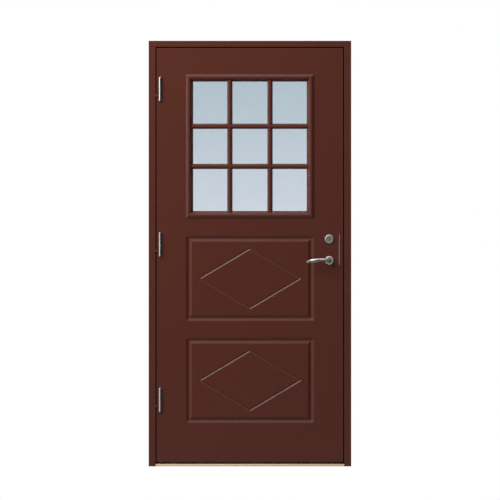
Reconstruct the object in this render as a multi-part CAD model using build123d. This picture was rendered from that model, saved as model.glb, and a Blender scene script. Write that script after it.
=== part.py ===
"""Entrance door: an insulated, outward-opening leaf in a painted timber frame on an oak threshold.

Millimetres. X runs to the right seen from outside, Y into the building, Z up. The origin is on the floor,
under the middle of the threshold.
"""

import math
import os

from build123d import *

# Frame: 10 x 21 module, outside sizes
FRAME_WIDTH = 990
FRAME_HEIGHT = 2080
FRAME_DEPTH = 115
JAMB_FACE = 34
HEAD_FACE = 30
STOP_RISE = 14
EDGE_ROUND = 1.5

# Leaf, and the room it is given in the rebate
LEAF_THICK = 62
LEAF_SETBACK = 2
LEAF_BOTTOM = 21
SIDE_GAP = 5
HEAD_GAP = 5.5
STOP_GAP = 7
LOCK_BEVEL = 3
SKIN_THICK = 9
STILE_WIDTH = 110
TOP_RAIL_HEIGHT = 90
BOTTOM_RAIL_HEIGHT = 140

# Oak threshold
NOSE_HEIGHT = 12
SILL_FALL = 1
SILL_LAP = 9
NOSE_ROUND = 4
INNER_ROUND = 6

# Weather seals: a soft bulb on a barb that is pressed into a kerf in the stop
SEAL_WIDTH = 7
SEAL_REACH = 4.8
SEAL_ROUND = 2.8
BARB_WIDTH = 2.4
BARB_DEPTH = 5
KERF_EASE = 0.15

# Frame screws through the stops, where they stay in reach with the leaf shut
FIXING_R = 7
FIXING_FROM_FLOOR = 200
FIXING_FROM_HEAD = 150
FIXING_PITCH = 500
FIXING_FROM_BACK = 20

# Routed panels: a wide groove round each field, a narrow diamond within
PANEL_HALF_WIDTH = 313
PANEL_FROM_BOTTOM = 191.3
PANEL_SPACING = 80.8
PANEL_TO_CASING = 84.8
GROOVE_WIDTH = 29.5
GROOVE_DEPTH = 6
GROOVE_FLAT = 2
DIAMOND_SIDE_MARGIN = 68
DIAMOND_END_MARGIN = 63
DIAMOND_WIDTH = 11.5
DIAMOND_DEPTH = 2.9
DIAMOND_FLAT = 0.5

# Window: triple glazing clamped between two mitred casings, with a bar grid on each side
CASING_FROM_TOP = 128.5
CASING_HEIGHT = 703.5
CASING_WIDTH = 34
CASING_PROUD = 7.5
CASING_EDGE = 2
CASING_SHOULDER = 3
CASING_NOSE = 8
CASING_OUTER_SLOPE = 10
CASING_FLAT = 10
CASING_SEAT = 18
CASING_LIP = 2
PANES = 3
PANE_THICK = 4
PANE_GAP = 12
GLASS_EASE = 3
SPACER_WIDTH = 10
BAR_PITCH = 196.2
BAR_BASE = 26
BAR_TOP = 12
BAR_BELOW_FACE = 1
BAR_CROWN = 6

# Hinges: a lift-off barrel in front of the leaf, the pin fixed in the lower half
HINGE_FROM_BOTTOM = 304.5
HINGE_FROM_TOP = 200
HINGE_INSET = 16.8
HINGE_STANDOFF = 8.5
HINGE_LENGTH = 117
HINGE_SPLIT_DROP = 3.5
BARREL_R = 6.4
BARREL_CAP = 2.5
BARREL_CHAMFER = 0.5
BARREL_PLAY = 0.3
PIN_R = 4
PIN_EASE = 0.05
PIN_RISE = 45
STUD_R = 3.5
STUD_EASE = 0.1
STUD_DEPTH = 42
STUD_PITCH = 30
FLAP_THICK = 4
FLAP_ARM_HEIGHT = 12
FLAP_HEIGHT = 96
FLAP_DEPTH = 34
FLAP_CLEAR = 3.5
FLAP_BEND = 4
FLAP_CORNER = 8
MORTISE_EASE = 0.2

# Lock and handle
BACKSET = 68
HANDLE_HEIGHT = 1006
LOCK_CENTRES = 105
ROSE_R = 21.5
ROSE_THICK = 8
ROSE_ROUND = 3
NECK_R = 10
NECK_EASE = 0.3
NECK_FOOT = 1
SPINDLE = 8
SPINDLE_HOLD = 22
SPINDLE_HOLE_R = 10
CYLINDER_R = 14
CYLINDER_DEPTH = 32
CYLINDER_BACK = 1.5
CORE_R = 8
CORE_GROOVE = 0.8
KEYWAY_WIDTH = 3.2
KEYWAY_HEIGHT = 10
KEYWAY_DROP = 2
TURN_SHAFT_R = 7
TURN_REACH = 26
TURN_LENGTH = 34
TURN_THICK = 9
TURN_EDGE = 2
FOREND_LENGTH = 235
FOREND_WIDTH = 22
FOREND_THICK = 3
LATCH_HEIGHT = 26
LATCH_WIDTH = 14
LATCH_LENGTH = 22
LATCH_RISE = 38
LATCH_EASE = 0.3
STRIKE_THICK = 2.5
STRIKE_WIDTH = 26
STRIKE_POCKET = 20
STRIKE_HOLE_EASE = 4
GUARD_WIDTH = 4.4
GUARD_HEIGHT = 152
GUARD_PROUD = 1.5
GUARD_DEEP = 4
GUARD_INSET = 18.6
GUARD_CENTRE_RISE = 53.5

# Positions that follow
front = -FRAME_DEPTH / 2
back = FRAME_DEPTH / 2
leaf_face = front + LEAF_SETBACK
leaf_back = leaf_face + LEAF_THICK
leaf_middle = (leaf_face + leaf_back) / 2
stop_face = leaf_back + STOP_GAP
frame_x = FRAME_WIDTH / 2
rebate_x = frame_x - JAMB_FACE
stop_x = rebate_x - STOP_RISE
leaf_x = rebate_x - SIDE_GAP
head_under = FRAME_HEIGHT - HEAD_FACE
head_stop = head_under - STOP_RISE
leaf_top = head_under - HEAD_GAP
sill_stop = LEAF_BOTTOM + SILL_LAP
core_face = leaf_face + SKIN_THICK
core_back = leaf_back - SKIN_THICK
stile_x = leaf_x - STILE_WIDTH
rail_top = leaf_top - TOP_RAIL_HEIGHT
rail_bottom = LEAF_BOTTOM + BOTTOM_RAIL_HEIGHT
hinge_x = HINGE_INSET - leaf_x
hinge_y = leaf_face - HINGE_STANDOFF
lock_x = leaf_x - BACKSET
cylinder_height = HANDLE_HEIGHT + LOCK_CENTRES
casing_x = PANEL_HALF_WIDTH
casing_z = CASING_HEIGHT / 2
window_centre = leaf_top - CASING_FROM_TOP - casing_z
panel_floor = LEAF_BOTTOM + PANEL_FROM_BOTTOM
panel_top = window_centre - casing_z - PANEL_TO_CASING
panel_height = (panel_top - panel_floor - PANEL_SPACING) / 2
panel_centres = (panel_floor + panel_height / 2, panel_top - panel_height / 2)
aperture_x = casing_x - CASING_SEAT
aperture_z = casing_z - CASING_SEAT
unit_thick = PANES * PANE_THICK + (PANES - 1) * PANE_GAP
glass_depth = (LEAF_THICK - unit_thick) / 2

os.makedirs("parts", exist_ok=True)


def save(name, shape):
    export_step(shape, f"parts/{name}.step")


def block(x0, x1, y0, y1, z0, z1):
    solid = Box(x1 - x0, y1 - y0, z1 - z0, align=(Align.MIN, Align.MIN, Align.MIN))
    return Pos(x0, y0, z0) * solid


def rod_y(x, z, radius, y0, y1):
    rod = Cylinder(radius, y1 - y0, align=(Align.CENTER, Align.CENTER, Align.MIN))
    return Pos(x, y0, z) * Rot(-90, 0, 0) * rod


def outline(points, rounds=()):
    """A closed outline; rounds lists (corner number, radius)."""
    face = make_face(Polyline(*points, close=True))
    for corner, radius in rounds:
        spot = Vector(*points[corner])
        vertex = face.vertices().sort_by_distance(spot)[0]
        face = fillet(vertex, radius)
    return face


def mirrored(shape):
    """The same piece on the inside of the leaf."""
    return mirror(shape, about=Plane((0, leaf_middle, 0), z_dir=(0, 1, 0)))


def furniture_plane(height, side):
    """On the leaf at the lock's line, looking out of the given side: -1 outside, 1 inside."""
    y = leaf_face if side < 0 else leaf_back
    return Plane((lock_x, y, height), x_dir=(1, 0, 0), z_dir=(0, side, 0))


def turned(points, rounds=()):
    """Turned about Z from an outline of (radius, height)."""
    return revolve(Plane.XZ * outline(points, rounds), Axis.Z)


# Jambs: rebated posts, the stop left standing behind the leaf
jamb_points = [
    (-frame_x, front),
    (-rebate_x, front),
    (-rebate_x, stop_face),
    (-stop_x, stop_face),
    (-stop_x, back),
    (-frame_x, back),
]
eased = [(0, EDGE_ROUND), (1, EDGE_ROUND), (3, EDGE_ROUND), (4, EDGE_ROUND)]
jamb = extrude(outline(jamb_points, eased), head_under)
seal_x = (leaf_x + stop_x) / 2
kerf_half = BARB_WIDTH / 2 + KERF_EASE
kerf_end = stop_face + BARB_DEPTH + KERF_EASE
jamb -= block(-seal_x - kerf_half, -seal_x + kerf_half, stop_face, kerf_end, 0, head_under)
fixing_y = back - FIXING_FROM_BACK
fixing_top = head_under - FIXING_FROM_HEAD
fixing_low = (FIXING_FROM_FLOOR, FIXING_FROM_FLOOR + FIXING_PITCH)
fixing_high = (fixing_top - FIXING_PITCH, fixing_top)
for height in fixing_low + fixing_high:
    hole = Cylinder(FIXING_R, 2 * JAMB_FACE + 2 * STOP_RISE)
    jamb -= Pos(-frame_x, fixing_y, height) * Rot(0, 90, 0) * hole
lock_jamb = mirror(jamb, about=Plane.YZ)
hinge_jamb = jamb

# Head: lies over the jambs, its stop cut off between theirs
head_points = [
    (front, FRAME_HEIGHT),
    (front, head_under),
    (stop_face, head_under),
    (stop_face, head_stop),
    (back, head_stop),
    (back, FRAME_HEIGHT),
]
frame_head = Pos(-frame_x, 0, 0) * extrude(Plane.YZ * outline(head_points, eased), FRAME_WIDTH)
for side in (-1, 1):
    x0, x1 = sorted((side * stop_x, side * frame_x))
    frame_head -= block(x0, x1, front, back, head_stop, head_under)
seal_z_head = (leaf_top + head_stop) / 2
frame_head -= block(-stop_x, stop_x, stop_face, kerf_end, seal_z_head - kerf_half, seal_z_head + kerf_half)

# Threshold: falls outward under the leaf, rises to a stop behind it
sill_points = [
    (front, 0),
    (front, NOSE_HEIGHT),
    (stop_face, NOSE_HEIGHT + SILL_FALL),
    (stop_face, sill_stop),
    (back, sill_stop),
    (back, 0),
]
sill_profile = outline(sill_points, [(1, NOSE_ROUND), (3, EDGE_ROUND), (4, INNER_ROUND)])
threshold = Pos(-rebate_x, 0, 0) * extrude(Plane.YZ * sill_profile, 2 * rebate_x)
for side in (-1, 1):
    x0, x1 = sorted((side * stop_x, side * rebate_x))
    threshold -= block(x0, x1, stop_face, back, 0, sill_stop)
seal_z_sill = (LEAF_BOTTOM + sill_stop) / 2
threshold -= block(-stop_x, stop_x, stop_face, kerf_end, seal_z_sill - kerf_half, seal_z_sill + kerf_half)

# Weather seals
half = SEAL_WIDTH / 2
seal_points = [
    (-half, 0),
    (-half, -SEAL_REACH),
    (half, -SEAL_REACH),
    (half, 0),
    (BARB_WIDTH / 2, 0),
    (BARB_WIDTH / 2, BARB_DEPTH),
    (-BARB_WIDTH / 2, BARB_DEPTH),
    (-BARB_WIDTH / 2, 0),
]
seal_section = outline(seal_points, [(1, SEAL_ROUND), (2, SEAL_ROUND)])
sill_top = NOSE_HEIGHT + SILL_FALL
side_seal = Pos(-seal_x, stop_face, sill_top) * extrude(seal_section, head_under - sill_top)
cross_seal = extrude(Plane((0, 0, 0), x_dir=(0, 0, -1), z_dir=(1, 0, 0)) * seal_section, 2 * stop_x)
save("seal_hinge_side", side_seal)
save("seal_lock_side", mirror(side_seal, about=Plane.YZ))
save("seal_head", Pos(-stop_x, stop_face, seal_z_head) * cross_seal)
save("seal_threshold", Pos(-stop_x, stop_face, seal_z_sill) * cross_seal)

# Lock edge of the leaf: planed back so that its inner corner swings out past the jamb
bevel_points = [(leaf_x, leaf_face), (leaf_x + STILE_WIDTH, leaf_face), (leaf_x + STILE_WIDTH, leaf_back)]
bevel_points.append((leaf_x - LOCK_BEVEL, leaf_back))
lock_edge = Pos(0, 0, LEAF_BOTTOM) * extrude(outline(bevel_points), leaf_top - LEAF_BOTTOM)
edge_x = leaf_x - LOCK_BEVEL / 2
edge_normal = Vector(LEAF_THICK, LOCK_BEVEL, 0).normalized()

# Leaf framing and its foam core
hinge_stile = block(-leaf_x, -stile_x, core_face, core_back, LEAF_BOTTOM, leaf_top)
lock_stile = block(stile_x, leaf_x, core_face, core_back, LEAF_BOTTOM, leaf_top) - lock_edge
top_rail = block(-stile_x, stile_x, core_face, core_back, rail_top, leaf_top)
bottom_rail = block(-stile_x, stile_x, core_face, core_back, LEAF_BOTTOM, rail_bottom)
core = block(-stile_x, stile_x, core_face, core_back, rail_bottom, rail_top)
window_z0 = window_centre - aperture_z
window_z1 = window_centre + aperture_z
aperture = block(-aperture_x, aperture_x, leaf_face, leaf_back, window_z0, window_z1)
core -= aperture

# Outer skin: a moulded board with two routed panels
def routed(outer, inner, depth, run, centre):
    """The waste of a groove whose walls slope in from outer and up again to the island."""
    lean = math.degrees(math.atan(run / depth))
    top = Plane((0, leaf_face, centre), x_dir=(1, 0, 0), z_dir=(0, 1, 0))
    waste = extrude(top * outer, amount=depth, taper=lean)
    island = extrude(top.offset(depth) * inner, amount=-depth, taper=lean)
    return waste - island


skin = block(-leaf_x, leaf_x, leaf_face, core_face, LEAF_BOTTOM, leaf_top)
skin = fillet(skin.faces().sort_by(Axis.Y)[0].edges(), EDGE_ROUND)
skin -= aperture
groove_run = (GROOVE_WIDTH - GROOVE_FLAT) / 2
diamond_run = (DIAMOND_WIDTH - DIAMOND_FLAT) / 2
field = RectangleRounded(2 * PANEL_HALF_WIDTH, panel_height, GROOVE_WIDTH / 2)
island_trim = 2 * (groove_run + GROOVE_FLAT)
field_island = Rectangle(2 * PANEL_HALF_WIDTH - island_trim, panel_height - island_trim)
w = PANEL_HALF_WIDTH - DIAMOND_SIDE_MARGIN
h = panel_height / 2 - DIAMOND_END_MARGIN
diamond = Polygon((w, 0), (0, h), (-w, 0), (0, -h), align=None)
diamond_outer = offset(diamond, DIAMOND_WIDTH / 2, kind=Kind.ARC)
diamond_island = offset(diamond, -DIAMOND_FLAT / 2, kind=Kind.INTERSECTION)
for centre in panel_centres:
    skin -= routed(field, field_island, GROOVE_DEPTH, groove_run, centre)
    skin -= routed(diamond_outer, diamond_island, DIAMOND_DEPTH, diamond_run, centre)
outer_skin = skin - lock_edge
inner_skin = mirrored(skin) - lock_edge

# Glass: three panes, kept apart by two edge spacers
unit_x = aperture_x - GLASS_EASE
unit_z0 = window_z0 + GLASS_EASE
unit_z1 = window_z1 - GLASS_EASE
glass_y = leaf_face + glass_depth
panes = Part()
spacers = Part()
for number in range(PANES):
    y0 = glass_y + number * (PANE_THICK + PANE_GAP)
    panes += block(-unit_x, unit_x, y0, y0 + PANE_THICK, unit_z0, unit_z1)
for number in range(PANES - 1):
    y0 = glass_y + PANE_THICK + number * (PANE_THICK + PANE_GAP)
    ring = block(-unit_x, unit_x, y0, y0 + PANE_GAP, unit_z0, unit_z1)
    inner_x = unit_x - SPACER_WIDTH
    inner_z0, inner_z1 = unit_z0 + SPACER_WIDTH, unit_z1 - SPACER_WIDTH
    spacers += ring - block(-inner_x, inner_x, y0, y0 + PANE_GAP, inner_z0, inner_z1)
save("glass_panes", panes)
save("glass_spacers", spacers)

# Casing: four lengths of one moulding, mitred at the corners
window_plane = Plane((0, leaf_face, window_centre), x_dir=(1, 0, 0), z_dir=(0, -1, 0))
flat_end = CASING_OUTER_SLOPE + CASING_FLAT
leg = CASING_SEAT + KERF_EASE
casing_points = [
    (0, 0),
    (0, CASING_EDGE),
    (CASING_OUTER_SLOPE, CASING_PROUD),
    (flat_end, CASING_PROUD),
    (CASING_WIDTH, CASING_LIP - glass_depth),
    (CASING_WIDTH, -glass_depth),
    (leg, -glass_depth),
    (leg, 0),
]
casing_profile = outline(casing_points, [(2, CASING_SHOULDER), (3, CASING_NOSE)])


def mitred(half_length, half_across, along, inward):
    """One length of casing; its mitres run in from the corners of the frame."""
    start = Vector(inward) * -half_across
    moulding = extrude(Plane(start, x_dir=inward, z_dir=along) * casing_profile, half_length, both=True)
    short = half_length - CASING_WIDTH
    near = half_across - CASING_WIDTH
    ends = [(-half_length, half_across), (half_length, half_across), (short, near), (-short, near)]
    corners = [Vector(along) * run - Vector(inward) * across for run, across in ends]
    mitre = make_face(Polyline(*corners, close=True))
    return moulding & extrude(mitre, CASING_PROUD + glass_depth, both=True)


side_length = mitred(casing_z, casing_x, (0, 1, 0), (-1, 0, 0))
cross_length = mitred(casing_x, casing_z, (1, 0, 0), (0, 1, 0))
casing = side_length + cross_length
casing += mirror(side_length, about=Plane.YZ)
casing += mirror(cross_length, about=Plane.XZ)
casing = window_plane * casing

# Glazing bars: crowned strips crossing on the glass, scribed to the casing's inner slope
bar_rise = glass_depth - BAR_BELOW_FACE
bar_points = [(-BAR_BASE / 2, 0), (-BAR_TOP / 2, bar_rise), (BAR_TOP / 2, bar_rise), (BAR_BASE / 2, 0)]
bar_profile = outline(bar_points, [(1, BAR_CROWN), (2, BAR_CROWN)])
bar_ends_x = casing_x - flat_end
bar_ends_z = casing_z - flat_end
bars = Part()
for side in (-1, 1):
    at = side * BAR_PITCH / 2
    upright = Plane((at, -bar_ends_z, -glass_depth), x_dir=(-1, 0, 0), z_dir=(0, 1, 0))
    bars += extrude(upright * bar_profile, 2 * bar_ends_z)
    level = Plane((-bar_ends_x, at, -glass_depth), x_dir=(0, 1, 0), z_dir=(1, 0, 0))
    bars += extrude(level * bar_profile, 2 * bar_ends_x)
bars = window_plane * bars - casing
save("window_casing_outside", casing)
save("window_casing_inside", mirrored(casing))
save("glazing_bars_outside", bars)
save("glazing_bars_inside", mirrored(bars))

# Hinges
barrel_top = HINGE_LENGTH / 2
split = -HINGE_SPLIT_DROP
pin_top = split + PIN_RISE
lower_points = [
    (0, -barrel_top),
    (BARREL_R, -barrel_top),
    (BARREL_R, split),
    (PIN_R, split),
    (PIN_R, pin_top),
    (0, pin_top),
]
lower = turned(lower_points, [(1, BARREL_CHAMFER), (2, BARREL_CHAMFER)])
bore_r = PIN_R + PIN_EASE
bore_top = pin_top + BARREL_PLAY
upper_points = [
    (0, bore_top),
    (bore_r, bore_top),
    (bore_r, split + BARREL_PLAY),
    (BARREL_R, split + BARREL_PLAY),
    (BARREL_R, barrel_top),
    (0, barrel_top),
]
upper = turned(upper_points, [(3, BARREL_CHAMFER), (4, BARREL_CAP)])
stud_end = leaf_face + STUD_DEPTH
ease = MORTISE_EASE
arm_back = leaf_face - FLAP_CLEAR
arm_front = arm_back - FLAP_THICK
flap_x = -rebate_x - FLAP_THICK
arm_points = [
    (hinge_x, arm_front),
    (flap_x, arm_front),
    (flap_x, front + FLAP_DEPTH / 2),
    (-rebate_x, front + FLAP_DEPTH / 2),
    (-rebate_x, arm_back),
    (hinge_x, arm_back),
]
arm_profile = outline(arm_points, [(1, FLAP_BEND)])
arm_drop = HINGE_SPLIT_DROP + (barrel_top - HINGE_SPLIT_DROP) / 2
plate_depth = FLAP_DEPTH - EDGE_ROUND
plate_y = front + (FLAP_DEPTH + EDGE_ROUND) / 2
hinge_low = LEAF_BOTTOM + HINGE_FROM_BOTTOM
hinge_high = leaf_top - HINGE_FROM_TOP
hinge_heights = {"bottom": hinge_low, "middle": (hinge_low + hinge_high) / 2, "top": hinge_high}
for name, height in hinge_heights.items():
    axis_at = Pos(hinge_x, hinge_y, height)
    stud_z = height + (barrel_top + split) / 2
    upper_half = axis_at * upper
    for side in (-1, 1):
        z = stud_z + side * STUD_PITCH / 2
        stud = rod_y(hinge_x, z, STUD_R, hinge_y, stud_end)
        upper_half += stud - axis_at * Cylinder(bore_r, HINGE_LENGTH)
        hole = rod_y(hinge_x, z, STUD_R + STUD_EASE, leaf_face, stud_end)
        outer_skin -= hole
        hinge_stile -= hole
    save(f"hinge_{name}_upper_barrel", upper_half)
    save(f"hinge_{name}_lower_barrel", axis_at * lower)
    arm_z = height - arm_drop - FLAP_ARM_HEIGHT / 2
    arm = Pos(0, 0, arm_z) * extrude(arm_profile, FLAP_ARM_HEIGHT)
    arm -= axis_at * Cylinder(BARREL_R, 2 * HINGE_LENGTH)
    plate_plane = Plane((-rebate_x, plate_y, height), x_dir=(0, 1, 0), z_dir=(-1, 0, 0))
    plate = extrude(plate_plane * RectangleRounded(plate_depth, FLAP_HEIGHT, FLAP_CORNER), FLAP_THICK)
    save(f"hinge_{name}_flap", arm + plate)
    bed = RectangleRounded(plate_depth + 2 * ease, FLAP_HEIGHT + 2 * ease, FLAP_CORNER + ease)
    hinge_jamb -= extrude(plate_plane * bed, FLAP_THICK)
    hinge_jamb -= block(flap_x, -rebate_x, front, plate_y, arm_z - ease, arm_z + FLAP_ARM_HEIGHT + ease)

# Lock case front, latch and strike. The latch is drawn back flush, so that the leaf is free to swing
latch_z = HANDLE_HEIGHT + LATCH_RISE
forend_z = HANDLE_HEIGHT + LOCK_CENTRES / 2
edge_plane = Plane((edge_x, leaf_middle, forend_z), x_dir=(0, 0, 1), z_dir=edge_normal)
latch_plane = Plane((edge_x, leaf_middle, latch_z), x_dir=(0, 0, 1), z_dir=edge_normal)
forend = extrude(edge_plane * SlotOverall(FOREND_LENGTH, FOREND_WIDTH), -FOREND_THICK)
forend_bed_shape = SlotOverall(FOREND_LENGTH + 2 * ease, FOREND_WIDTH + 2 * ease)
forend_bed = extrude(edge_plane * forend_bed_shape, -FOREND_THICK)
latch_window = Rectangle(LATCH_HEIGHT + 2 * LATCH_EASE, LATCH_WIDTH + 2 * LATCH_EASE)
latch_pocket = extrude(latch_plane * latch_window, -LATCH_LENGTH)
latch_bolt = extrude(latch_plane * Rectangle(LATCH_HEIGHT, LATCH_WIDTH), -LATCH_LENGTH)
save("lock_forend", forend - latch_pocket)
save("latch_bolt", latch_bolt)
lock_stile -= forend_bed
lock_stile -= latch_pocket
strike_plane = Plane((rebate_x, leaf_middle, forend_z), x_dir=(0, 0, 1), z_dir=(1, 0, 0))
strike_hole_plane = Plane((rebate_x, leaf_middle, latch_z), x_dir=(0, 0, 1), z_dir=(1, 0, 0))
strike_hole = Rectangle(LATCH_HEIGHT + 2 * STRIKE_HOLE_EASE, LATCH_WIDTH + 2 * STRIKE_HOLE_EASE)
strike_pocket = extrude(strike_hole_plane * strike_hole, STRIKE_POCKET)
strike = extrude(strike_plane * SlotOverall(FOREND_LENGTH, STRIKE_WIDTH), STRIKE_THICK)
strike_bed_shape = SlotOverall(FOREND_LENGTH + 2 * ease, STRIKE_WIDTH + 2 * ease)
strike_bed = extrude(strike_plane * strike_bed_shape, STRIKE_THICK)
save("strike_plate", strike - strike_pocket)
lock_jamb -= strike_bed
lock_jamb -= strike_pocket

# Guard strip: a slim bar let into the outer skin between the lock and the edge
guard_plane = Plane(
    (leaf_x - GUARD_INSET, leaf_face, HANDLE_HEIGHT + GUARD_CENTRE_RISE), x_dir=(0, 0, 1), z_dir=(0, 1, 0)
)
guard_shape = SlotOverall(GUARD_HEIGHT, GUARD_WIDTH)
guard = extrude(guard_plane.offset(-GUARD_PROUD) * guard_shape, GUARD_PROUD + GUARD_DEEP)
guard_edges = guard.faces().sort_by(Axis.Y)[0].edges()
save("lock_guard_strip", fillet(guard_edges, GUARD_PROUD / 2))
guard_bed = SlotOverall(GUARD_HEIGHT + 2 * ease, GUARD_WIDTH + 2 * ease)
outer_skin -= extrude(guard_plane * guard_bed, GUARD_DEEP)

# Roses, spindle and levers. The levers turn together on the square spindle
spindle_hole = rod_y(lock_x, HANDLE_HEIGHT, SPINDLE_HOLE_R, leaf_face, leaf_back)
outer_skin -= spindle_hole
lock_stile -= spindle_hole
inner_skin -= spindle_hole
rose_bore = NECK_R + NECK_EASE
rose = turned(
    [(rose_bore, 0), (ROSE_R, 0), (ROSE_R, ROSE_THICK), (rose_bore, ROSE_THICK)],
    [(2, ROSE_ROUND)],
)
save("handle_rose_outside", furniture_plane(HANDLE_HEIGHT, -1) * rose)
save("handle_rose_inside", furniture_plane(HANDLE_HEIGHT, 1) * rose)
spindle_y0 = leaf_face - SPINDLE_HOLD
spindle_y1 = leaf_back + SPINDLE_HOLD
s = SPINDLE / 2
spindle = block(lock_x - s, lock_x + s, spindle_y0, spindle_y1, HANDLE_HEIGHT - s, HANDLE_HEIGHT + s)
save("handle_spindle", spindle)

# Lever: lofted from the round neck through the bend into a flat, drooping blade.
# Each station: out along the grip, off the leaf, rise, tilt of the section, half height, half depth
LEVER_STATIONS = (
    (0, ROSE_THICK + NECK_FOOT, 0, 0, NECK_R, NECK_R),
    (0, 22, 0, 0, 9.2, 9.2),
    (2, 34, 0.8, 25, 8.6, 8.4),
    (10, 44, 2.6, 60, 7.6, 7),
    (28, 48, 3.9, 86, 6.6, 5.8),
    (51.5, 48.5, 1.7, 92, 8.3, 5),
    (78, 47.5, -1.6, 95, 9.4, 4.5),
    (98, 45.5, -4.5, 97, 7.2, 3.8),
    (112, 43.6, -8.6, 98, 2.4, 2),
)
sections = []
for along, off, rise, tilt, half_height, half_depth in LEVER_STATIONS:
    t = math.radians(tilt)
    at = (lock_x - along, leaf_face - off, HANDLE_HEIGHT + rise)
    plane = Plane(at, x_dir=(0, 0, 1), z_dir=(-math.sin(t), -math.cos(t), 0))
    sections.append(plane * Ellipse(half_height, half_depth))
neck = rod_y(lock_x, HANDLE_HEIGHT, NECK_R, leaf_face - ROSE_THICK - NECK_FOOT, leaf_face - NECK_FOOT)
lever = loft(sections) + neck - spindle
save("lever_outside", lever)
save("lever_inside", mirrored(lever))

# Lock cylinder with its rose outside, thumb turn inside
bore = CYLINDER_R + NECK_EASE
cylinder_end = leaf_face + CYLINDER_DEPTH
cylinder_bore = rod_y(lock_x, cylinder_height, bore, leaf_face, cylinder_end)
outer_skin -= cylinder_bore
lock_stile -= cylinder_bore
cylinder_rose = turned(
    [(bore, 0), (ROSE_R, 0), (ROSE_R, ROSE_THICK), (bore, ROSE_THICK)],
    [(2, ROSE_ROUND)],
)
save("cylinder_rose", furniture_plane(cylinder_height, -1) * cylinder_rose)
nose = ROSE_THICK - CYLINDER_BACK
cylinder = turned([(0, -CYLINDER_DEPTH), (CYLINDER_R, -CYLINDER_DEPTH), (CYLINDER_R, nose), (0, nose)])
core_ring = Cylinder(CORE_R + CORE_GROOVE, 2 * CORE_GROOVE) - Cylinder(CORE_R, 2 * CORE_GROOVE)
cylinder -= Pos(0, 0, nose) * core_ring
keyway = Box(KEYWAY_WIDTH, KEYWAY_HEIGHT, CYLINDER_DEPTH)
cylinder -= Pos(0, KEYWAY_DROP, nose) * keyway
save("lock_cylinder", furniture_plane(cylinder_height, -1) * cylinder)
turn_bore = TURN_SHAFT_R + NECK_EASE
turn_hole = rod_y(lock_x, cylinder_height, turn_bore, cylinder_end, leaf_back)
inner_skin -= turn_hole
lock_stile -= turn_hole
turn_rose = turned(
    [(turn_bore, 0), (ROSE_R, 0), (ROSE_R, ROSE_THICK), (turn_bore, ROSE_THICK)],
    [(2, ROSE_ROUND)],
)
save("thumb_turn_rose", furniture_plane(cylinder_height, 1) * turn_rose)
turn_seat = ROSE_THICK + NECK_EASE
turn_grip = extrude(SlotOverall(TURN_LENGTH, TURN_THICK), TURN_REACH - turn_seat)
turn_grip = fillet(turn_grip.faces().sort_by(Axis.Z)[-1].edges(), TURN_EDGE)
turn_foot = cylinder_end - leaf_back
turn_shaft = turned([(0, turn_foot), (TURN_SHAFT_R, turn_foot), (TURN_SHAFT_R, turn_seat), (0, turn_seat)])
turn = Pos(0, 0, turn_seat) * Rot(0, 0, 90) * turn_grip + turn_shaft
save("thumb_turn", furniture_plane(cylinder_height, 1) * turn)

save("hinge_jamb", hinge_jamb)
save("lock_jamb", lock_jamb)
save("frame_head", frame_head)
save("threshold", threshold)
save("hinge_stile", hinge_stile)
save("lock_stile", lock_stile)
save("top_rail", top_rail)
save("bottom_rail", bottom_rail)
save("insulation_core", core)
save("outer_skin", outer_skin)
save("inner_skin", inner_skin)
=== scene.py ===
import math

import bmesh
import bpy
from mathutils import Matrix, Vector


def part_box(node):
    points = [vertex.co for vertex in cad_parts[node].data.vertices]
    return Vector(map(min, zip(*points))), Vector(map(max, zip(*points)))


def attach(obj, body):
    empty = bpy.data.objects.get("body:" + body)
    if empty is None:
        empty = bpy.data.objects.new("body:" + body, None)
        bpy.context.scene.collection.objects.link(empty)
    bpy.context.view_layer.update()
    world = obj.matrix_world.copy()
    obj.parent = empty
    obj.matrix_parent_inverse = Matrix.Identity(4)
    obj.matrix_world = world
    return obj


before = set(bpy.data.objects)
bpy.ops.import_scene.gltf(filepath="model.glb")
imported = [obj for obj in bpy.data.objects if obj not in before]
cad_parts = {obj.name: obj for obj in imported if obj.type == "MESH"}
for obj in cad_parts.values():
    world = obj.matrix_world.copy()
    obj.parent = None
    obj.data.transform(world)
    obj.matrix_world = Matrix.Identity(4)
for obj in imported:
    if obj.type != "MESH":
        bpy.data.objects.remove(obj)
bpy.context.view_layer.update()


# Jambs: planed pine posts with a rebate for the leaf, sprayed with two coats of satin brown paint.
# A little of the upright grain still shows through the paint.
PAINT_DEEP = (0.074, 0.0165, 0.0092, 1)
PAINT_FULL = (0.082, 0.0190, 0.0110, 1)
PAINT_SHINE = 0.36


def add_node(tree, kind, inputs=(), **settings):
    node = tree.nodes.new(kind)
    for name, value in settings.items():
        setattr(node, name, value)
    for socket, value in dict(inputs).items():
        if isinstance(value, bpy.types.NodeSocket):
            tree.links.new(value, node.inputs[socket])
        else:
            node.inputs[socket].default_value = value
    return node


def start_material(name):
    material = bpy.data.materials.new(name)
    material.use_nodes = True
    tree = material.node_tree
    tree.nodes.clear()
    shader = add_node(tree, "ShaderNodeBsdfPrincipled")
    output = add_node(tree, "ShaderNodeOutputMaterial")
    tree.links.new(shader.outputs["BSDF"], output.inputs["Surface"])
    place = add_node(tree, "ShaderNodeTexCoord").outputs["Object"]
    return material, tree, shader, place


def noise_on(tree, place, stretch=(1, 1, 1), scale=1.0, detail=3.0, roughness=0.5):
    spread = add_node(tree, "ShaderNodeMapping", {"Vector": place, "Scale": stretch})
    wanted = {"Vector": spread.outputs["Vector"], "Scale": scale, "Detail": detail, "Roughness": roughness}
    return add_node(tree, "ShaderNodeTexNoise", wanted).outputs["Fac"]


def remap(tree, value, low, high, to_low, to_high):
    wanted = {"Value": value, "From Min": low, "From Max": high, "To Min": to_low, "To Max": to_high}
    return add_node(tree, "ShaderNodeMapRange", wanted).outputs["Result"]


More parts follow.
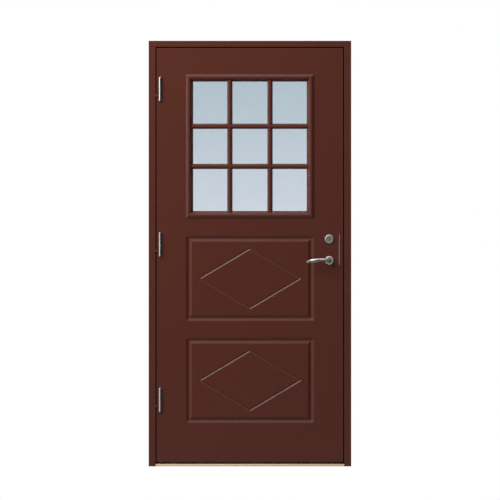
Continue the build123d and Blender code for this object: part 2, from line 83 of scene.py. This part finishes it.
def blend_colours(tree, factor, first, second):
    mix = add_node(tree, "ShaderNodeMix", {0: factor, 6: first, 7: second}, data_type="RGBA")
    return mix.outputs[2]


def tint(tree, shader, factor, first, second):
    """Lets the colour of a surface drift from the first tone to the second."""
    tree.links.new(blend_colours(tree, factor, first, second), shader.inputs["Base Color"])


def rub_down(tree, shader, noise, smooth, dull):
    """Lets the roughness of a surface follow a noise, over the middle of its range."""
    tree.links.new(remap(tree, noise, 0.3, 0.7, smooth, dull), shader.inputs["Roughness"])


def emboss(tree, shader, height, strength, depth, invert=False):
    """Adds a bump, its depth in metres, over any that the surface already has."""
    wanted = {"Height": height, "Strength": strength, "Distance": depth}
    bump = add_node(tree, "ShaderNodeBump", wanted, invert=invert)
    for under in shader.inputs["Normal"].links:
        tree.links.new(under.from_socket, bump.inputs["Normal"])
    tree.links.new(bump.outputs["Normal"], shader.inputs["Normal"])


def dress(material, *names):
    for name in names:
        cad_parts[name].material_slots[0].material = material


def painted_timber(name, along_grain):
    material, tree, shader, place = start_material(name)
    cloud = noise_on(tree, place, scale=2.2)
    grain = noise_on(tree, place, stretch=along_grain, detail=5.0, roughness=0.6)
    peel = noise_on(tree, place, scale=420.0)
    tint(tree, shader, cloud, PAINT_DEEP, PAINT_FULL)
    rub_down(tree, shader, grain, 0.32, 0.40)
    shader.inputs["Specular IOR Level"].default_value = PAINT_SHINE
    emboss(tree, shader, peel, strength=0.5, depth=0.00005)
    emboss(tree, shader, grain, strength=0.6, depth=0.00012)
    return material


dress(painted_timber("jamb_paint", along_grain=(110, 110, 3.5)), "hinge_jamb", "lock_jamb")


# Head: the same rebated and painted pine, laid over the tops of the two jambs.
# Its grain runs level.
dress(painted_timber("head_paint", along_grain=(3.5, 110, 110)), "frame_head")


# Frame screw caps: small brown caps pressed into the screw holes in the stops of both jambs.
# Each is a dished disc with a rounded rim, on a short spigot that grips the hole.
CAP_R = 0.009
CAP_RISE = 0.0022
CAP_ROUND = 0.0014
CAP_RIM = 0.0028
CAP_DISH = 0.0004
SPIGOT_R = 0.0068
SPIGOT_LENGTH = 0.007
STOP_RISE = 0.014
HOLE_Y = 0.0375
HOLE_HEIGHTS = (0.2, 0.7, 1.4, 1.9)


def edit_faces(piece, wanted):
    """In edit mode, selects the faces that the test asks for, and no others."""
    bpy.ops.mesh.select_all(action="DESELECT")
    mesh = bmesh.from_edit_mesh(piece.data)
    for face in mesh.faces:
        face.select_set(wanted(face))
    bmesh.update_edit_mesh(piece.data)


def placed_copies(pattern, name, places):
    """Copies of a modelled piece, set at their places and joined in one mesh at the origin."""
    copies = []
    for place in places:
        copy = pattern.copy()
        copy.data = pattern.data.copy()
        copy.data.transform(place)
        bpy.context.scene.collection.objects.link(copy)
        copies.append(copy)
    bpy.ops.object.select_all(action="DESELECT")
    for copy in copies:
        copy.select_set(True)
    bpy.context.view_layer.objects.active = copies[0]
    bpy.ops.object.join()
    joined = bpy.context.active_object
    joined.name = name
    joined.data.name = name
    return joined


bpy.ops.object.select_all(action="DESELECT")
bpy.ops.mesh.primitive_cylinder_add(vertices=40, radius=CAP_R, depth=CAP_RISE, location=(0, 0, CAP_RISE / 2))
cap = bpy.context.active_object
bpy.ops.object.transform_apply(location=True, rotation=True, scale=True)
bpy.ops.object.mode_set(mode="EDIT")
edit_faces(cap, lambda face: face.normal.z > 0.9)
bpy.ops.mesh.bevel(offset=CAP_ROUND, segments=4, profile=0.6)
edit_faces(cap, lambda face: face.normal.z > 0.99 and len(face.verts) > 8)
bpy.ops.mesh.inset(thickness=CAP_RIM, depth=-CAP_DISH)
edit_faces(cap, lambda face: face.normal.z < -0.9)
bpy.ops.mesh.inset(thickness=CAP_R - SPIGOT_R)
bpy.ops.mesh.extrude_region_move(TRANSFORM_OT_translate={"value": (0, 0, -SPIGOT_LENGTH)})
bpy.ops.object.mode_set(mode="OBJECT")
bpy.ops.object.shade_smooth_by_angle(angle=math.radians(35))

cap_finish, tree, shader, place = start_material("cap_brown")
speckle = noise_on(tree, place, scale=900.0)
tint(tree, shader, speckle, (0.066, 0.0165, 0.0105, 1), (0.076, 0.0190, 0.0120, 1))
rub_down(tree, shader, speckle, 0.42, 0.52)
shader.inputs["Specular IOR Level"].default_value = 0.35
cap.data.materials.append(cap_finish)
rebate_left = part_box("threshold")[0].x
rebate_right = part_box("threshold")[1].x
stop_x = rebate_right - STOP_RISE
for side, name in ((-1, "hinge_jamb_caps"), (1, "lock_jamb_caps")):
    face_in = Matrix.Rotation(math.radians(-90 * side), 4, "Y")
    spots = [Matrix.Translation((side * stop_x, HOLE_Y, z)) @ face_in for z in HOLE_HEIGHTS]
    caps = placed_copies(cap, name, spots)
    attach(caps, "frame")
bpy.data.objects.remove(cap)


# Threshold: one length of solid oak between the jambs, planed to fall outward, rounded at its nose and oiled.
# The grain runs the length of it, with fine open pores.
OAK_PALE = (0.70, 0.535, 0.36, 1)
OAK_RING = (0.585, 0.43, 0.275, 1)
OAK_FLAME = (0.56, 0.39, 0.235, 1)
OAK_PORE = (0.30, 0.19, 0.105, 1)
oak, tree, shader, place = start_material("threshold_oak")
rings = noise_on(tree, place, stretch=(1.6, 95, 95), detail=6.0, roughness=0.62)
flame = noise_on(tree, place, stretch=(0.9, 24, 24), detail=2.0)
pores = noise_on(tree, place, stretch=(26, 900, 900), detail=1.0)
pale = blend_colours(tree, remap(tree, rings, 0.3, 0.7, 0, 1), OAK_PALE, OAK_RING)
warm = blend_colours(tree, remap(tree, flame, 0.35, 0.7, 0, 0.45), pale, OAK_FLAME)
pits = remap(tree, pores, 0.62, 0.72, 0, 0.55)
tint(tree, shader, pits, warm, OAK_PORE)
rub_down(tree, shader, rings, 0.36, 0.5)
emboss(tree, shader, pits, strength=0.5, depth=0.00015, invert=True)
dress(oak, "threshold")


# Weather seals: black rubber bulbs with a barb, pushed into kerfs in the stops and the threshold.
# The rubber is matt, with a faint grey bloom.
rubber, tree, shader, place = start_material("seal_rubber")
bloom = noise_on(tree, place, scale=60.0)
grit = noise_on(tree, place, scale=1500.0)
tint(tree, shader, bloom, (0.012, 0.012, 0.012, 1), (0.022, 0.022, 0.021, 1))
rub_down(tree, shader, bloom, 0.55, 0.7)
emboss(tree, shader, grit, strength=0.3, depth=0.00005)
dress(rubber, "seal_hinge_side", "seal_lock_side", "seal_head", "seal_threshold")


# Leaf framing: timber stiles and rails, glued round a core of rigid foam.
# They are painted with the skins, and show only at the edges of the leaf.
dress(painted_timber("stile_paint", along_grain=(90, 90, 3)), "hinge_stile", "lock_stile")
dress(painted_timber("rail_paint", along_grain=(3, 90, 90)), "top_rail", "bottom_rail")
foam, tree, shader, place = start_material("core_foam")
cells = add_node(tree, "ShaderNodeTexVoronoi", {"Vector": place, "Scale": 700.0}).outputs["Distance"]
tint(tree, shader, cells, (0.72, 0.62, 0.38, 1), (0.88, 0.81, 0.60, 1))
shader.inputs["Roughness"].default_value = 0.9
emboss(tree, shader, cells, strength=0.4, depth=0.0003)
dress(foam, "insulation_core")


# Leaf skins: smooth moulded board, grooved on a router, then sprayed and baked.
# The paint has a faint orange peel and no grain.
def sprayed_board(name, smooth, dull):
    material, tree, shader, place = start_material(name)
    cloud = noise_on(tree, place, scale=1.6)
    peel = noise_on(tree, place, scale=380.0, detail=2.0)
    ripple = noise_on(tree, place, scale=45.0, detail=1.0)
    tint(tree, shader, cloud, PAINT_DEEP, PAINT_FULL)
    rub_down(tree, shader, ripple, smooth, dull)
    shader.inputs["Specular IOR Level"].default_value = PAINT_SHINE
    emboss(tree, shader, peel, strength=0.2, depth=0.00002)
    return material


dress(sprayed_board("skin_paint", smooth=0.27, dull=0.32), "outer_skin", "inner_skin")


# Window glass: three clear panes in a sealed unit, with a painted sky reflection that makes them a little
# bluer towards the top.
# The panes are held apart at the edge by aluminium spacers, pierced to let the drying beads breathe.
GLASS_FOOT = (0.853, 0.878, 0.908, 1)
GLASS_TOP = (0.76, 0.81, 0.844, 1)
glass, tree, shader, place = start_material("window_glass")
height = add_node(tree, "ShaderNodeSeparateXYZ", {"Vector": place}).outputs["Z"]
pane_low, pane_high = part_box("glass_panes")
# Painted reflection: the panes' colour turns bluer with height, as a sky would show in them.
painted_sky_rise = remap(tree, height, pane_low.z, pane_high.z, 0, 1)
tint(tree, shader, painted_sky_rise, GLASS_FOOT, GLASS_TOP)
shader.inputs["Roughness"].default_value = 0.0
shader.inputs["IOR"].default_value = 1.45
shader.inputs["Transmission Weight"].default_value = 1.0
dress(glass, "glass_panes")

spacer, tree, shader, place = start_material("spacer_aluminium")
# The piercings are not cut: dark dots painted on the aluminium stand for the shade inside the holes.
slits = add_node(tree, "ShaderNodeTexVoronoi", {"Vector": place, "Scale": 260.0}).outputs["Distance"]
holes = remap(tree, slits, 0.18, 0.24, 0, 1)
tint(tree, shader, holes, (0.05, 0.05, 0.05, 1), (0.66, 0.66, 0.65, 1))
shader.inputs["Metallic"].default_value = 1.0
shader.inputs["Roughness"].default_value = 0.42
dress(spacer, "glass_spacers")


# Window casings and glazing bars: mitred mouldings and crowned bars, sprayed like the skins, a little duller.
# They are clamped to the glass on thin rubber tape, which shows as a dark line round the opening.
TAPE_WIDTH = 0.0016
TAPE_RISE = 0.0012
TAPE_ROUND = 0.0004
SIGHT_HALF_WIDTH = 0.279
SIGHT_HALF_HEIGHT = 0.31775
dress(sprayed_board("casing_paint", smooth=0.38, dull=0.45), "window_casing_outside", "window_casing_inside")
dress(sprayed_board("bar_paint", smooth=0.38, dull=0.45), "glazing_bars_outside", "glazing_bars_inside")
window_z = (pane_low.z + pane_high.z) / 2
for name, turn, glass_y in (("tape_outside", 90, pane_low.y), ("tape_inside", -90, pane_high.y)):
    bpy.ops.object.select_all(action="DESELECT")
    bpy.ops.mesh.primitive_plane_add(size=2)
    tape = bpy.context.active_object
    tape.name = name
    tape.data.name = name
    tape.scale = (SIGHT_HALF_WIDTH, SIGHT_HALF_HEIGHT, 1)
    bpy.ops.object.transform_apply(location=True, rotation=True, scale=True)
    bpy.ops.object.mode_set(mode="EDIT")
    bpy.ops.mesh.select_all(action="SELECT")
    bpy.ops.mesh.inset(thickness=TAPE_WIDTH)
    bpy.ops.mesh.delete(type="FACE")
    bpy.ops.mesh.select_all(action="SELECT")
    bpy.ops.mesh.extrude_region_move(TRANSFORM_OT_translate={"value": (0, 0, TAPE_RISE)})
    bpy.ops.mesh.bevel(offset=TAPE_ROUND, segments=2)
    bpy.ops.mesh.select_all(action="SELECT")
    bpy.ops.mesh.normals_make_consistent(inside=False)
    bpy.ops.object.mode_set(mode="OBJECT")
    tape.rotation_euler = (math.radians(turn), 0, 0)
    tape.location = (0, glass_y, window_z)
    bpy.ops.object.transform_apply(location=True, rotation=True, scale=True)
    bpy.ops.object.shade_smooth_by_angle(angle=math.radians(35))
    tape.data.materials.append(rubber)
    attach(tape, "leaf")


# Hinges: lift-off barrels turned from stainless steel, with a pressed flap let into the jamb.
# The flaps are painted with the frame, and three raised screws hold each.
STEEL_DARK = (0.66, 0.65, 0.63)
STEEL_LIGHT = (0.72, 0.71, 0.69)
HINGES = ("bottom", "middle", "top")
SCREW_R = 0.0042
SCREW_RISE = 0.0011
RECESS_SIZE = (0.0046, 0.0009, 0.0013)
END_SCREW_IN = 0.011
END_SCREW_UP = 0.034
MIDDLE_SCREW_IN = 0.020


def satin_steel(name, brushing, smooth, dull, painted_light_scale=1.0):
    """Steel with fine lines left by the brush. The last argument scales its colour: above one it makes a
    lighter copy as painted light, below one a darker copy as painted shading.
    """
    material, tree, shader, place = start_material(name)
    lines = noise_on(tree, place, stretch=brushing, detail=2.0)
    haze = noise_on(tree, place, scale=35.0)
    dark = [part * painted_light_scale for part in STEEL_DARK]
    light = [part * painted_light_scale for part in STEEL_LIGHT]
    tint(tree, shader, haze, (*dark, 1), (*light, 1))
    rub_down(tree, shader, lines, smooth, dull)
    shader.inputs["Metallic"].default_value = 1.0
    emboss(tree, shader, lines, strength=0.2, depth=0.000006)
    return material


barrel_steel = satin_steel("barrel_steel", brushing=(60, 60, 1800), smooth=0.2, dull=0.32)
flap_paint, tree, shader, place = start_material("flap_paint")
cloud = noise_on(tree, place, scale=30.0)
peel = noise_on(tree, place, scale=600.0)
tint(tree, shader, cloud, (0.072, 0.0172, 0.0104, 1), (0.080, 0.0195, 0.0120, 1))
rub_down(tree, shader, cloud, 0.34, 0.42)
shader.inputs["Specular IOR Level"].default_value = 0.3
emboss(tree, shader, peel, strength=0.4, depth=0.00004)
for hinge in HINGES:
    dress(barrel_steel, f"hinge_{hinge}_upper_barrel", f"hinge_{hinge}_lower_barrel")
    dress(flap_paint, f"hinge_{hinge}_flap")

ball_r = (SCREW_R ** 2 + SCREW_RISE ** 2) / (2 * SCREW_RISE)
ball_place = (0, 0, SCREW_RISE - ball_r)
bpy.ops.object.select_all(action="DESELECT")
bpy.ops.mesh.primitive_uv_sphere_add(segments=36, ring_count=72, radius=ball_r, location=ball_place)
screw = bpy.context.active_object
bpy.ops.object.transform_apply(location=True, rotation=True, scale=True)
bpy.ops.object.mode_set(mode="EDIT")
bpy.ops.mesh.select_all(action="SELECT")
bpy.ops.mesh.bisect(plane_co=(0, 0, 0), plane_no=(0, 0, 1), clear_inner=True, use_fill=True)
bpy.ops.object.mode_set(mode="OBJECT")
for quarter in (0, 90):
    turned = (0, 0, math.radians(quarter))
    bpy.ops.object.select_all(action="DESELECT")
    bpy.ops.mesh.primitive_cube_add(size=1, location=(0, 0, SCREW_RISE), rotation=turned)
    recess = bpy.context.active_object
    recess.scale = RECESS_SIZE
    bpy.ops.object.transform_apply(location=True, rotation=True, scale=True)
    bpy.ops.object.select_all(action="DESELECT")
    screw.select_set(True)
    bpy.context.view_layer.objects.active = screw
    cut = screw.modifiers.new("cross_recess", "BOOLEAN")
    cut.operation = "DIFFERENCE"
    cut.solver = "EXACT"
    cut.object = recess
    bpy.ops.object.modifier_apply(modifier=cut.name)
    bpy.data.objects.remove(recess)
bpy.ops.object.shade_smooth_by_angle(angle=math.radians(30))
screw.data.materials.append(satin_steel("screw_steel", brushing=(700, 700, 700), smooth=0.22, dull=0.34))

face_right = Matrix.Rotation(math.radians(90), 4, "Y")
for hinge in HINGES:
    flap_low, flap_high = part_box(f"hinge_{hinge}_flap")
    middle_z = (flap_low.z + flap_high.z) / 2
    spots = [
        (rebate_left, flap_high.y - END_SCREW_IN, middle_z + END_SCREW_UP),
        (rebate_left, flap_high.y - MIDDLE_SCREW_IN, middle_z),
        (rebate_left, flap_high.y - END_SCREW_IN, middle_z - END_SCREW_UP),
    ]
    places = [Matrix.Translation(spot) @ face_right for spot in spots]
    screws = placed_copies(screw, f"hinge_{hinge}_screws", places)
    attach(screws, "frame")


# Lock: a stainless forend let into the edge of the leaf with the latch flush in it, and a strike plate in
# the jamb, each on two screws. A slim steel strip guards the edge on the outside.
END_MARGIN = 0.012
LEAF_EDGE_X = 0.4545
LEAF_THICK = 0.062
LOCK_BEVEL = 0.003
plate_steel = satin_steel("plate_steel", brushing=(400, 400, 14), smooth=0.24, dull=0.36)
dress(plate_steel, "lock_forend", "latch_bolt", "strike_plate")
# The guard strip gets a darker copy of the steel: painted shading that dims the light on it.
guard_steel = satin_steel("guard_steel", brushing=(900, 900, 20), smooth=0.26, dull=0.36, painted_light_scale=0.75)
dress(guard_steel, "lock_guard_strip")
forend_low, forend_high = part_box("lock_forend")
strike_low, strike_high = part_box("strike_plate")
lock_y = (strike_low.y + strike_high.y) / 2
ends = (forend_low.z + END_MARGIN, forend_high.z - END_MARGIN)
edge_out = Matrix.Rotation(math.atan2(LOCK_BEVEL, LEAF_THICK), 4, "Z") @ face_right
places = [Matrix.Translation((LEAF_EDGE_X, lock_y, z)) @ edge_out for z in ends]
forend_screws = placed_copies(screw, "forend_screws", places)
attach(forend_screws, "leaf")
face_left = Matrix.Rotation(math.radians(-90), 4, "Y")
places = [Matrix.Translation((strike_low.x, lock_y, z)) @ face_left for z in ends]
strike_screws = placed_copies(screw, "strike_screws", places)
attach(strike_screws, "frame")
bpy.data.objects.remove(screw)


# Roses, lock cylinder and thumb turn: turned stainless steel, screwed on from behind so no fixing shows.
# The lathe has left fine rings round the axis of each rose and of the cylinder; the thumb turn is brushed.
RING_SCALE = 1500


def turned_steel(name, turned_piece, smooth, dull, painted_light_scale):
    """Satin steel whose lines are rings round the axis of a piece."""
    material = satin_steel(name, (1, 1, 1), smooth, dull, painted_light_scale)
    tree = material.node_tree
    low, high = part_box(turned_piece)
    axis = ((low.x + high.x) / 2, 0, (low.z + high.z) / 2)
    place = add_node(tree, "ShaderNodeTexCoord").outputs["Object"]
    level = add_node(tree, "ShaderNodeVectorMath", {0: place, 1: (1, 0, 1)}, operation="MULTIPLY")
    from_axis = {0: level.outputs["Vector"], 1: axis}
    reach = add_node(tree, "ShaderNodeVectorMath", from_axis, operation="DISTANCE").outputs["Value"]
    ring = add_node(tree, "ShaderNodeCombineXYZ", {"X": reach}).outputs["Vector"]
    lines = next(node for node in tree.nodes if node.type == "MAPPING")
    tree.links.new(ring, lines.inputs["Vector"])
    lines.inputs["Scale"].default_value = (RING_SCALE, 1, 1)
    return material


# The roses and the thumb turn get a lighter copy of the steel, as painted light.
rose_steel = turned_steel("rose_steel", "handle_rose_outside", smooth=0.22, dull=0.3, painted_light_scale=1.15)
dress(rose_steel, "handle_rose_outside", "handle_rose_inside")
cylinder_rose_steel = turned_steel("cylinder_rose_steel", "cylinder_rose", smooth=0.22, dull=0.3, painted_light_scale=1.15)
dress(cylinder_rose_steel, "cylinder_rose", "thumb_turn_rose")
# The cylinder gets a darker copy of the steel: painted shading that sets it off from the light rim of its
# rose.
cylinder_steel = turned_steel("cylinder_steel", "lock_cylinder", smooth=0.3, dull=0.4, painted_light_scale=0.74)
dress(cylinder_steel, "lock_cylinder")
thumb_turn_steel = satin_steel("thumb_turn_steel", brushing=(900, 900, 30), smooth=0.22, dull=0.3, painted_light_scale=1.15)
dress(thumb_turn_steel, "thumb_turn")


# Levers: cast and polished steel, a round neck that bends into a flat drooping grip.
# Both turn on one square spindle through the leaf.
# The levers and the spindle get a darker copy of the steel: painted shading that tones down the light along
# their tops.
lever_steel = satin_steel("lever_steel", brushing=(30, 500, 500), smooth=0.14, dull=0.22, painted_light_scale=0.7)
dress(lever_steel, "lever_outside", "lever_inside", "handle_spindle")


# Stage: a plain pale floor under the frame, which fades out into the white room.
# It throws less light back than it shows, so that the foot of the door isn't lit from below.
FLOOR_FULL = 1.1
FLOOR_GONE = 2.6
FLOOR_BOUNCE = 0.3
FLOOR_Z = -0.0004
bpy.ops.object.select_all(action="DESELECT")
bpy.ops.mesh.primitive_plane_add(size=2 * FLOOR_GONE, location=(0, 0, FLOOR_Z))
floor = bpy.context.active_object
floor.name = "floor"
bpy.ops.object.transform_apply(location=True, rotation=True, scale=True)
floor_finish, tree, shader, place = start_material("floor_pale")
mottle = noise_on(tree, place, scale=1.2)
tint(tree, shader, mottle, (0.78, 0.78, 0.78, 1), (0.82, 0.82, 0.81, 1))
shader.inputs["Roughness"].default_value = 0.9
shader.inputs["Specular IOR Level"].default_value = 0.1
away = add_node(tree, "ShaderNodeVectorMath", {0: place}, operation="LENGTH").outputs["Value"]
path = add_node(tree, "ShaderNodeLightPath").outputs
either = {0: path["Is Camera Ray"], 1: path["Is Transmission Ray"]}
seen = add_node(tree, "ShaderNodeMath", either, operation="MAXIMUM").outputs[0]
shown = remap(tree, seen, 0, 1, FLOOR_BOUNCE, 1)
fade = remap(tree, away, FLOOR_FULL, FLOOR_GONE, 1, 0)
cover = add_node(tree, "ShaderNodeMath", {0: shown, 1: fade}, operation="MULTIPLY").outputs[0]
tree.links.new(cover, shader.inputs["Alpha"])
floor.data.materials.append(floor_finish)


# Light: a large soft key from the upper left, soft boxes to the left, above and between that give the edges
# their sheen, one for the inner side, and a pale room. The camera and glass see the room as white; it is
# brighter towards the upper left, so the metal shows a light top and a dark underside.
FILL_LEVEL = 0.24
FILL_SWING = 0.20
FILL_LEAST = 0.02
SHINE_LEVEL = 0.22
SHINE_SWING = 1.40
SHINE_LEAST = 0.04
UPPER_LEFT = (-0.5, 0.0, 0.8)
BEHIND_FULL = 0.3
BACKDROP_FOOT = -0.5
BACKDROP_TOP = 0.35
BACKDROP_DIM = 0.1


def soft_light(name, direction, target, distance, size, radiance):
    data = bpy.data.lights.new(name, "AREA")
    data.shape = "SQUARE"
    data.size = size
    data.energy = radiance * math.pi * size * size
    light = bpy.data.objects.new(name, data)
    towards = Vector(direction).normalized()
    light.location = Vector(target) + distance * towards
    light.rotation_euler = (-towards).to_track_quat("-Z", "Y").to_euler()
    bpy.context.scene.collection.objects.link(light)
    return light


key = soft_light("key_light", (-0.585, -0.653, 0.482), (0, 0, 1.2), distance=5.6, size=3.8, radiance=5.9)
key.visible_glossy = False
soft_light("between_light", (-0.42, -0.565, 0.71), (0, 0, 0.7), distance=4.2, size=1.3, radiance=6.0)
soft_light("left_light", (-0.93, -0.36, 0.05), (0, 0, 2.0), distance=3.6, size=1.7, radiance=2.4)
soft_light("over_light", (-0.12, -0.30, 0.95), (0, 0, 1.0), distance=4.6, size=2.4, radiance=1.9)
inner = soft_light("inner_light", (0.46, 0.70, 0.55), (0, 0, 1.05), distance=6.0, size=2.6, radiance=9.0)
inner.visible_glossy = False

world = bpy.data.worlds.new("studio_room")
bpy.context.scene.world = world
world.use_nodes = True
tree = world.node_tree
tree.nodes.clear()
path = add_node(tree, "ShaderNodeLightPath").outputs
towards = add_node(tree, "ShaderNodeTexCoord").outputs["Generated"]
aligned = add_node(tree, "ShaderNodeVectorMath", {0: towards, 1: UPPER_LEFT}, operation="DOT_PRODUCT")
lean = aligned.outputs["Value"]


def room_math(operation, *values):
    return add_node(tree, "ShaderNodeMath", enumerate(values), operation=operation).outputs[0]


def room_mix(factor, first, second):
    return add_node(tree, "ShaderNodeMix", {0: factor, 2: first, 3: second}).outputs[0]


fill = room_math("MAXIMUM", room_math("MULTIPLY_ADD", lean, FILL_SWING, FILL_LEVEL), FILL_LEAST)
shine = room_math("MAXIMUM", room_math("MULTIPLY_ADD", lean, SHINE_SWING, SHINE_LEVEL), SHINE_LEAST)
shine = room_math("MINIMUM", shine, 1.0)
parts = add_node(tree, "ShaderNodeSeparateXYZ", {"Vector": towards}).outputs
backdrop = remap(tree, parts["Z"], BACKDROP_FOOT, BACKDROP_TOP, BACKDROP_DIM, 1)
behind = remap(tree, parts["Y"], 0, BEHIND_FULL, 0, 1)
shine = room_mix(behind, shine, backdrop)
plain = room_math("MAXIMUM", path["Is Camera Ray"], path["Is Transmission Ray"])
level = room_mix(plain, room_mix(path["Is Glossy Ray"], fill, shine), 1.0)
room = add_node(tree, "ShaderNodeBackground", {"Color": (1, 1, 1, 1), "Strength": level})
out = add_node(tree, "ShaderNodeOutputWorld")
tree.links.new(room.outputs["Background"], out.inputs["Surface"])


# Camera: square on to the outside of the door, with no perspective.
# It stands a little above half the door's height, as the photograph is framed.
VIEW_WIDTH = 2.4435
STANDPOINT = (0.0003, -6, 1.0575)
camera_data = bpy.data.cameras.new("camera")
camera_data.type = "ORTHO"
camera_data.ortho_scale = VIEW_WIDTH
camera = bpy.data.objects.new("camera", camera_data)
camera.location = STANDPOINT
camera.rotation_euler = (math.radians(90), 0, 0)
bpy.context.scene.collection.objects.link(camera)
bpy.context.scene.camera = camera
bpy.context.scene.view_settings.view_transform = "Standard"
